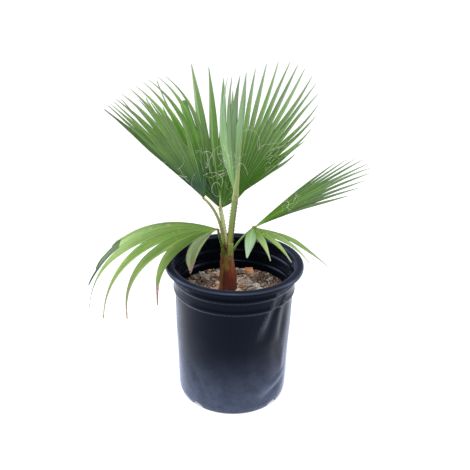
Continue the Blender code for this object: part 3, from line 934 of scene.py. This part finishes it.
def path_point(leaf, share):
    """Point and direction at a share of the petiole's path, a curve from root to heart."""
    root = Vector((*leaf["root"], PETIOLE_ROOT_HEIGHT))
    bend = Vector(leaf["bend"])
    heart = Vector(leaf["heart"])
    heart += (heart - bend).normalized() * leaf["neck"]
    point = root.lerp(bend, share).lerp(bend.lerp(heart, share), share)
    along = (bend - root).lerp(heart - bend, share).normalized()
    return point, along


def stalk_frame(leaf, share):
    """Centre, wide axis and thick axis of a petiole at a share of its path. The thick axis looks inwards."""
    centre, along = path_point(leaf, share)
    flat = direction(leaf["flat_way"], 0)
    wide = (flat - along * flat.dot(along)).normalized()
    thick = along.cross(wide)
    inwards = Vector((TRUNK_CROWN.x - leaf["heart"][0], TRUNK_CROWN.y - leaf["heart"][1], 0.02))
    if thick.dot(inwards) < 0:
        thick.negate()
    half_width = leaf["root_half_width"] + (leaf["half_width"] - leaf["root_half_width"]) * share
    return centre, along, wide * half_width, thick * leaf["half_depth"] * (1.15 - 0.15 * share)


def map_blade(face, layer, spots):
    """Give a face's corners their places in the UV map."""
    for loop in face.loops:
        loop[layer].uv = spots[loop.vert]


def loft(bm, rows, sides, place):
    """A closed limb: a grid rolled up and capped. place gives a point from a turn and a share, 0 to 1."""
    layer = bm.loops.layers.uv["blade"]
    grid = bmesh.ops.create_grid(bm, x_segments=sides, y_segments=rows, size=0.5)
    spots = {}
    for corner in grid["verts"]:
        turn = corner.co.x + 0.5
        share = corner.co.y + 0.5
        spots[corner] = (turn * 2, share)
        corner.co = place(turn, share)
    for face in {face for corner in grid["verts"] for face in corner.link_faces}:
        map_blade(face, layer, spots)
    bmesh.ops.remove_doubles(bm, verts=grid["verts"], dist=SEAM)
    bmesh.ops.holes_fill(bm, edges=[edge for edge in bm.edges if edge.is_boundary], sides=0)
    bmesh.ops.recalc_face_normals(bm, faces=bm.faces)


def build_petiole(leaf, material):
    """A stalk with a rounded back, a channel along its inner side and sharp margins."""
    def place(turn, share):
        centre, _, wide, thick = stalk_frame(leaf, share)
        deep = sin(2 * pi * turn)
        if deep > 0:
            deep *= 1 - CHANNEL * (0.4 + 0.6 * deep ** 2) * swell(share, 0.05, 0.3)
        return centre + wide * cos(2 * pi * turn) + thick * deep

    bm = bmesh.new()
    bm.loops.layers.uv.new("blade")
    loft(bm, PETIOLE_ROWS, PETIOLE_SIDES, place)
    name = f"petiole_{leaf['name']}"
    return add_piece(f"{name}_stalk", bm, [material], [name], sharp=60)


def build_thorns(material):
    """Hooked thorns along both margins of every petiole."""
    chance = random.Random("thorns")
    bm = bmesh.new()
    for leaf in LEAVES:
        length = (Vector(leaf["heart"]) - Vector((*leaf["root"], PETIOLE_ROOT_HEIGHT))).length
        for side in (-1, 1):
            place = THORN_START
            while place < length * THORN_END:
                centre, along, wide, _ = stalk_frame(leaf, place / length)
                out = wide.normalized() * side
                size = chance.uniform(*THORN_LENGTHS)
                foot = centre + wide * side * THORN_SEAT
                tip = foot + out * size - along * size * THORN_HOOK
                middle = foot + out * size * 0.62 - along * size * 0.05
                path = [foot - out * 0.0004, foot + out * size * 0.2, middle, tip]
                tube(bm, path, [size * share for share in THORN_RADII], 4)
                place += THORN_SPACING * chance.uniform(*THORN_STRAYS)
    bmesh.ops.recalc_face_normals(bm, faces=bm.faces)
    return add_piece("petiole_thorns", bm, [material], sharp=50)


def build_sheath(leaf, material, foot_height, top_share, spread, bulge):
    """A leaf base: a torn-edged shell that wraps the trunk low down and closes round its petiole."""
    bm = bmesh.new()
    layer = bm.loops.layers.uv.new("blade")
    grid = bmesh.ops.create_grid(bm, x_segments=SHEATH_STEPS, y_segments=SHEATH_STEPS, size=0.5)
    root = Vector((*leaf["root"], 0)) - Vector((TRUNK_CROWN.x, TRUNK_CROWN.y, 0))
    way = degrees(atan2(root.y, root.x))
    top = path_point(leaf, top_share)[0].z
    spots = {}
    for corner in grid["verts"]:
        across = corner.co.x * 2
        up = corner.co.y + 0.5
        spots[corner] = (corner.co.x + 0.5, up)
        ragged = SHEATH_RAGGED * noise.noise(Vector((across * 7, way, 0)))
        height = foot_height + (top - foot_height) * up + ragged * (1 - up)
        height -= SHEATH_SCOOP * across * across * (1 - up)
        share = (height - TRUNK_FOOT.z) / (TRUNK_CROWN.z - TRUNK_FOOT.z)
        closing = swell(share, *SHEATH_CLOSING)
        axis = TRUNK_FOOT.lerp(TRUNK_CROWN, share)
        angle = way + across * spread * (1 - SHEATH_NARROWING * closing)
        shell = trunk_radius(min(share, 1.0)) + SHEATH_GAP
        shell += bulge * sin(pi * clamped(share) ** 0.8)
        shell += SHEATH_RELIEF * noise.noise(Vector((across * 9, height * 90, way)))
        on_trunk = Vector((axis.x, axis.y, height)) + direction(angle, 0) * shell
        risen = clamped((height - PETIOLE_ROOT_HEIGHT) / (top - PETIOLE_ROOT_HEIGHT)) * top_share
        centre, _, wide, thick = stalk_frame(leaf, risen)
        around = radians(across * SHEATH_TURN)
        outward = direction(way, 0)
        if thick.dot(outward) < 0:
            thick = -thick
        loose = SHEATH_LOOSE - SHEATH_TIGHTENING * up
        on_stalk = centre + wide * sin(around) * loose + thick * cos(around) * loose
        on_stalk.z = height
        corner.co = on_trunk.lerp(on_stalk, closing)
    for face in bm.faces:
        map_blade(face, layer, spots)
    piece = add_piece(f"leaf_base_{leaf['name']}", bm, [material], sharp=60)
    skin = piece.modifiers.new("leaf_base_thickness", "SOLIDIFY")
    skin.thickness = SHEATH_THICKNESS
    skin.offset = -1.0
    return piece


def reach(fan, half, turn_share):
    """Length of a rib: a parabola through the midrib's, the middle rib's and the edge rib's lengths."""
    return (fan["length"] * (1 - turn_share) * (1 - 2 * turn_share)
            + half["middle"] * 4 * turn_share * (1 - turn_share)
            + half["outer"] * turn_share * (2 * turn_share - 1))


def rib_point(leaf, fan, half, turn_share, along):
    """Point at a share of the way along a rib that sets off straight and droops under its own weight."""
    turn = turn_share * (1 - half.get("gather", 0.0) * along ** 2)
    aim = direction(*fan["midrib"]).slerp(direction(*half["edge"]), turn ** half.get("spacing", 1.0))
    level = Vector((aim.x, aim.y, 0.0)).normalized()
    rise = asin(aim.z)
    droop = radians(fan["droop"] * (1 - turn_share) + half["droop"] * turn_share)
    length = reach(fan, half, turn_share)
    start = fan["heel"] / length
    share = start + (1 - start) * along
    step = length * share / RIB_STEPS
    point = Vector(leaf["heart"])
    for number in range(RIB_STEPS):
        passed = share * (number + 0.5) / RIB_STEPS
        angle = max(rise - droop * passed ** fan["power"], -radians(STEEPEST_FALL))
        point += (level * cos(angle) + Vector((0.0, 0.0, sin(angle)))) * step
    return point


def own(half, key, index, usual):
    """The value that a half gives to a single segment, or else the usual one."""
    return half.get(key, {}).get(index, usual)


def add_segment(bm, leaf, fan, half, index, ribs, splits, chance):
    """One segment: a grid folded along its rib, sewn to its neighbours up to the splits, free beyond."""
    uv = bm.loops.layers.uv["blade"]
    tone = bm.verts.layers.float["tone"]
    bloom = bm.verts.layers.float["bloom"]
    finish = fan["slots"][own(half, "changed", index, half["finish"])]
    end = own(half, "broken", index, 1.0)
    left, middle, right = ribs[2 * index:2 * index + 3]
    twist = radians(chance.gauss(0, half["twist"]))
    sway = chance.gauss(0, SWAY)
    bow = chance.gauss(0, BOW)
    shade = chance.uniform(*TONES)
    waxed = chance.uniform(0.0, half.get("bloom", USUAL_BLOOM))
    closing = chance.uniform(*CLOSINGS)
    withered = own(half, "dry", index, NEVER)
    folded = own(half, "folded", index, NEVER)
    slim = own(half, "slims", index, half.get("slim", USUAL_SLIM))
    grid = bmesh.ops.create_grid(bm, x_segments=BLADE_COLUMNS, y_segments=BLADE_ROWS, size=0.5)
    spots = {}
    facing = {}
    for corner in grid["verts"]:
        across = corner.co.x + 0.5
        row = round((corner.co.y + 0.5) * BLADE_ROWS)
        along = end * row / BLADE_ROWS
        spots[corner] = (index + across, along)
        corner[tone] = shade
        corner[bloom] = waxed * swell(along, 0.05, 0.6) if along < folded else 0.0
        place = along * BLADE_ROWS
        low = min(floor(place), BLADE_ROWS - 1)
        a, b, c = [rib[low].lerp(rib[low + 1], place - low) for rib in (left, middle, right)]
        side = c - a
        normal = side.cross(b - Vector(leaf["heart"])).normalized() * half["face"]
        # Each edge narrows from its own split on, and the fold closes towards the tip
        first, last = [max(along - split, 0.0) / (1 - split) for split in splits[index:index + 2]]
        freed = min(first, last)
        narrow = TIP_WIDTH + (1 - TIP_WIDTH) * (1 - first - (last - first) * across) ** slim
        fold = 1 - abs(2 * across - 1)
        pleat = PLEAT + (TIP_PLEAT - PLEAT) * freed * closing
        sunk = pleat * side.length * narrow * swell(along, 0.0, 0.14)
        edge = a if across <= 0.5 else c
        spine = b - normal * sunk
        from_spine = (edge - b) * (1 - fold) * narrow + normal * sunk * (1 - fold)
        axis = (b - Vector(leaf["heart"])).normalized()
        point = spine + Matrix.Rotation(twist * freed, 3, axis) @ from_spine
        corner.co = point + side.normalized() * sway * freed ** 2 + normal * bow * sin(pi * freed)
        facing[corner] = normal
    faces = list({face for corner in grid["verts"] for face in corner.link_faces})
    against = 0
    for face in faces:
        face.normal_update()
        against += face.normal.dot(facing[face.verts[0]]) < 0
    for face in faces:
        map_blade(face, uv, spots)
        far = sum(spots[corner][1] for corner in face.verts) / len(face.verts)
        face.material_index = finish
        outwards = sum(spots[corner][0] for corner in face.verts) / len(face.verts)
        # From its folded share on, a segment is painted dark, as the shade inside a fold
        if far > folded and outwards > FOLD_LIP:
            face.material_index = fan["slots"][FOLD_SHADE_FINISH]
        if far > withered:
            face.material_index = fan["slots"]["dry"]
    if against > len(faces) / 2:
        bmesh.ops.reverse_faces(bm, faces=faces)


def build_fan(leaf, fan, finishes):
    """A fan of segments, sewn together near its heart and free towards its tips."""
    looks = [half["finish"] for half in fan["halves"]]
    looks += [look for half in fan["halves"] for look in half.get("changed", {}).values()]
    looks = list(dict.fromkeys(looks + [FOLD_SHADE_FINISH, "dry"]))
    sides = [look if isinstance(look, tuple) else (look, look) for look in looks]
    materials = [finishes[name] for pair in sides for name in pair]
    fan = dict(fan, slots={look: 2 * number for number, look in enumerate(looks)})
    bm = bmesh.new()
    bm.loops.layers.uv.new("blade")
    bm.verts.layers.float.new("tone")
    bm.verts.layers.float.new("bloom")
    for half in fan["halves"]:
        chance = random.Random(f"{fan['name']} {half['edge']}")
        count = half["count"]
        rows = [row / BLADE_ROWS for row in range(BLADE_ROWS + 1)]
        ribs = [[rib_point(leaf, fan, half, k / (2 * count), along) for along in rows]
                for k in range(2 * count + 1)]
        usual = half.get("split", fan["split"])
        splits = [usual + chance.uniform(-SPLIT_SPREAD, SPLIT_SPREAD) for k in range(count + 1)]
        splits[0] = fan["split"]
        splits[-1] = usual * 0.8
        for k, split in half.get("splits", {}).items():
            splits[k] = split
        for index in range(count):
            add_segment(bm, leaf, fan, half, index, ribs, splits, chance)
    bmesh.ops.remove_doubles(bm, verts=bm.verts, dist=SEAM)
    piece = add_piece(f"{fan['name']}_blades", bm, materials, [fan["name"]], sharp=22)
    skin = piece.modifiers.new("leaf_thickness", "SOLIDIFY")
    skin.thickness = BLADE_THICKNESS
    skin.offset = 0.0
    skin.material_offset = 1
    return piece


def build_costa(leaf, fan, material):
    """The petiole runs on into its fan as a tapering costa, which ends in the midrib."""
    half = fan["halves"][0]
    length, width = fan["costa"]
    flat = direction(leaf["flat_way"], 0)

    def place(turn, share):
        if share == 0:
            centre = path_point(leaf, COSTA_START)[0]
        else:
            centre = rib_point(leaf, fan, half, 0.0, length * share)
        along = direction(*fan["midrib"])
        wide = (flat - along * flat.dot(along)).normalized()
        radius = leaf["half_width"] * width * (1 - COSTA_TAPER * share ** 0.7)
        around = wide * cos(2 * pi * turn) + along.cross(wide) * sin(2 * pi * turn) * COSTA_DEPTH
        return centre + around * radius

    bm = bmesh.new()
    bm.loops.layers.uv.new("blade")
    loft(bm, COSTA_ROWS, COSTA_SIDES, place)
    return add_piece(f"costa_{fan['name'][4:]}", bm, [material], sharp=60)


def build_hastula(leaf, fan, material):
    """The small withered flap where a petiole meets its blade, on the blade's upper side."""
    half = fan["halves"][0]
    heart = Vector(leaf["heart"])
    along = (rib_point(leaf, fan, half, 0.0, 0.1) - heart).normalized()
    across = (rib_point(leaf, fan, half, 0.2, 0.3) - heart).normalized()
    out = across.cross(along).normalized()
    if out.y > 0:
        out.negate()
    size = leaf["half_width"]
    path = [heart + out * size * 0.3 + along * size * rise for rise in HASTULA_RISES]
    bm = bmesh.new()
    tube(bm, path, [size * share for share in HASTULA_WIDTHS], 10)
    bmesh.ops.recalc_face_normals(bm, faces=bm.faces)
    return add_piece(f"hastula_{fan['name'][4:]}", bm, [material], sharp=60)


def add_thread(bm, chance, start, way, normal, length, curl):
    """A fine thread that curls as it dries, close to the blade that it hangs from."""
    point = start.copy()
    path = []
    heading = way.normalized()
    phase = chance.uniform(0, 2 * pi)
    for step in range(THREAD_STEPS + 1):
        path.append(point + normal * THREAD_LIFT * min(step / THREAD_LIFT_STEPS, 1.0))
        bend = curl * (0.5 + 0.9 * sin(phase + 2.6 * step / THREAD_STEPS))
        heading = Matrix.Rotation(bend / THREAD_STEPS, 3, normal) @ heading
        heading = (heading - Vector((0, 0, THREAD_SAG))).normalized()
        point += heading * length / THREAD_STEPS
    thick = chance.uniform(*THREAD_RADII)
    tube(bm, path, [thick * (1 - 0.5 * step / THREAD_STEPS) for step in range(THREAD_STEPS + 1)], 3)


def build_threads(material):
    """White curly threads that start on the seams between the segments, and a few longer shreds."""
    chance = random.Random("threads")
    bm = bmesh.new()
    fans = {fan["name"]: (leaf, fan) for leaf in LEAVES for fan in leaf["fans"]}
    for name, side, shares, places, count, longest in THREADS:
        leaf, fan = fans[name]
        half = fan["halves"][side]
        for number in range(count):
            turn_share = round(chance.uniform(*shares) * half["count"]) / half["count"]
            along = chance.uniform(*places) * (half.get("split", fan["split"]) * 0.8 - SPLIT_SPREAD)
            start = rib_point(leaf, fan, half, turn_share, along)
            near = rib_point(leaf, fan, half, turn_share, along * 0.8)
            beside = rib_point(leaf, fan, half, turn_share + 0.02, along)
            normal = (start - near).cross(beside - start).normalized()
            if normal.y > 0:
                normal.negate()
            way = Matrix.Rotation(chance.uniform(-THREAD_TURN, THREAD_TURN), 3, normal) @ (start - near)
            curl = chance.choice((-1, 1)) * chance.uniform(*THREAD_CURLS)
            length = chance.uniform(THREAD_SHORTEST, 1.0) * longest
            add_thread(bm, chance, start, way, normal, length, curl)
    for name, side, turn_share, along, aim, length, curl in SHREDS:
        leaf, fan = fans[name]
        start = rib_point(leaf, fan, fan["halves"][side], turn_share, along)
        add_thread(bm, chance, start, direction(*aim), Vector((0, -1, 0)), length, curl)
    bmesh.ops.recalc_face_normals(bm, faces=bm.faces)
    return add_piece("leaf_threads", bm, [material], sharp=80)


def build_camera():
    """The camera stands in front, above the palm, and looks down at it."""
    down = radians(CAMERA_DOWN)
    roll = radians(CAMERA_ROLL)
    level = Vector((1, 0, 0))
    forward = Vector((0, cos(down), -sin(down)))
    raised = Vector((0, sin(down), cos(down)))
    right = level * cos(roll) + raised * sin(roll)
    up = raised * cos(roll) - level * sin(roll)
    lens = bpy.data.cameras.new("camera")
    lens.sensor_width = SENSOR_WIDTH
    lens.lens = FOCAL_PIXELS / FRAME_PIXELS * SENSOR_WIDTH
    camera = new_object("camera", lens)
    turn = Matrix((right, up, -forward)).transposed().to_4x4()
    camera.matrix_world = Matrix.Translation(CAMERA_PLACE) @ turn
    bpy.context.scene.camera = camera


def add_panel(name, place, size, power):
    """A soft panel light that looks at the foot of the plant."""
    data = bpy.data.lights.new(name, "AREA")
    data.shape = "RECTANGLE"
    data.size, data.size_y = size
    data.energy = power
    data.color = linear(PANEL_COLOUR)[:3]
    light = new_object(name, data)
    light.location = place
    light.rotation_euler = (PANEL_AIM - Vector(place)).to_track_quat("-Z", "Y").to_euler()


def build_stage():
    """A white floor, two suns from above, tall soft panels on both sides and a pale surrounding."""
    bm = bmesh.new()
    bmesh.ops.create_grid(bm, x_segments=1, y_segments=1, size=30.0)
    ground = new_object("studio_floor", new_mesh("studio_floor", bm))
    ground.data.materials.append(make_floor())
    for name, energy, spread, lean in SUNS:
        sun = new_object(name, bpy.data.lights.new(name, "SUN"))
        sun.data.energy = energy
        sun.data.angle = radians(spread)
        sun.rotation_euler = (radians(lean), radians(SUN_SIDE_LEAN), 0)
    for panel in PANELS:
        add_panel(*panel)
    world = bpy.data.worlds.new("studio")
    world.use_nodes = True
    set_inputs(world.node_tree.nodes["Background"], {"Color": linear("FFFFFF"), "Strength": WORLD_STRENGTH})
    bpy.context.scene.world = world
    bpy.context.scene.view_settings.view_transform = "Standard"


def main():
    """Set the camera and the stage, then make the plant from its pot up to its leaves."""
    build_camera()
    build_stage()
    build_pot(make_polyethylene())
    build_mix(make_grained("fine_bark_mix", "1E1814", "40362F", "74675C", 0.0040, 0.95, 0.0020))
    chips = {
        "brown": make_grained("bark_brown", "3E2E26", "70594B", "A08A78", 0.0030, 0.85, 0.0008),
        "grey": make_grained("bark_weathered", "6E645E", "B0A69C", "DCD2CA", 0.0030, 0.88, 0.0008),
        "orange": make_grained("bark_fresh_orange", "8A5636", "BE825C", "DCA882", 0.0030, 0.80, 0.0008),
        "pale": make_grained("bark_pale", "74604F", "AC9684", "D6C6B6", 0.0030, 0.85, 0.0008),
    }
    build_chips(chips)
    build_bits("bark_crumbs", chips["brown"], CRUMB_COUNT, 0.0014, 0.0042, 0.6)
    build_bits("perlite", make_grained("perlite_grains", "A8A49C", "CFCCC6", "E8E6E2", 0.0020, 0.9, 0.0004),
               PERLITE_COUNT, 0.0012, 0.0044, 0.8)
    build_twigs(chips["pale"])
    build_trunk(make_trunk_fibre())
    stalks = {
        "lime": make_stalk("petiole_lime", "8A5230", "8C9648", "76884A", "40301C"),
        "straw": make_stalk("petiole_straw", "7C7432", "92985A", "8E9660", "52401E"),
        "leafy": make_stalk("petiole_leafy", "56801A", "5C8A1E", "5E7A34", "44641A"),
    }
    for leaf in LEAVES:
        build_petiole(leaf, stalks[leaf["tint"]])
    bases = {
        "red": make_stalk("leaf_base_red", "5A2010", "7A3A1C", "8E6030", "3A140C", 0.5, lined_by=0.5),
        "front": make_stalk("leaf_base_front", "5A2010", "7A3A1C", "828C46", "4A1C10", 0.5,
                            (0.10, 0.50, 0.84), lined_by=0.5),
        "green": make_stalk("leaf_base_green", "5A3A1C", "6E5E26", "5A7A14", "8A6A3C", 0.45,
                            (0.08, 0.36, 0.58), lined_by=0.4),
        "olive": make_stalk("leaf_base_olive", "5E2A16", "74602C", "5E7C1C", "7A5A30", 0.45,
                            (0.14, 0.56, 0.96), lined_by=0.45),
    }
    for leaf in LEAVES:
        finish, *shape = SHEATHS[leaf["name"]]
        build_sheath(leaf, bases[finish], *shape)
    build_thorns(make_grained("thorn_brown", "2E140A", "5A2E16", "7A4A24", 0.0030, 0.45, 0.0001))
    flap_skin = make_grained("hastula_withered", "5E4A22", "8A7838", "A09458", 0.0040, 0.7, 0.0002)
    costa_skin = make_stalk("costa_lime", "849250", "849458", "7A9058", "6E7E44")
    finishes = {
        "deep_green": make_leaf("leaf_deep_green", "285204", "3E6814", "688A4C", "7E8F74"),
        "mid_green": make_leaf("leaf_mid_green", "2C500A", "406814", "588230", "7C8E62"),
        "blue_green": make_leaf("leaf_blue_green", "34543A", "4A7428", "66903E", "84946C"),
        "shaded_green": make_leaf("leaf_shaded_green", "1E3432", "2E5216", "42681E", "6A7C54"),
        "bright_green": make_leaf("leaf_bright_green", "4E761C", "4E722C", "4A683C", "667A5A"),
        "yellow_green": make_leaf("leaf_yellow_green", "56742E", "627E38", "7C9450", "8E9274", 0.55),
        "dark_green": make_leaf("leaf_dark_green", "2A420C", "345010", "3E5C14", "4E6430"),
        # Painted shade inside a folded-over segment
        "fold_shade_green": make_leaf("leaf_fold_shade_green", "2A4214", "2A4416", "30481C", "3E5428"),
        "pale_green": make_leaf("leaf_pale_green", "7C8C60", "88986C", "8E9A70", "A08A6E"),
        "glaucous": make_leaf("leaf_glaucous", "66884E", "769464", "7A9870", "8A9C80"),
        "dry": make_grained("leaf_withered", "6E544A", "A88C80", "D0BCB2", 0.0040, 0.8, 0.0004),
    }
    for leaf in LEAVES:
        for fan in leaf["fans"]:
            build_fan(leaf, fan, finishes)
            build_costa(leaf, fan, costa_skin)
            build_hastula(leaf, fan, flap_skin)
    build_threads(make_grained("dried_thread", "C8C4B4", "DEDACC", "F0EEE4", 0.0040, 0.7, 0.0001))


main()
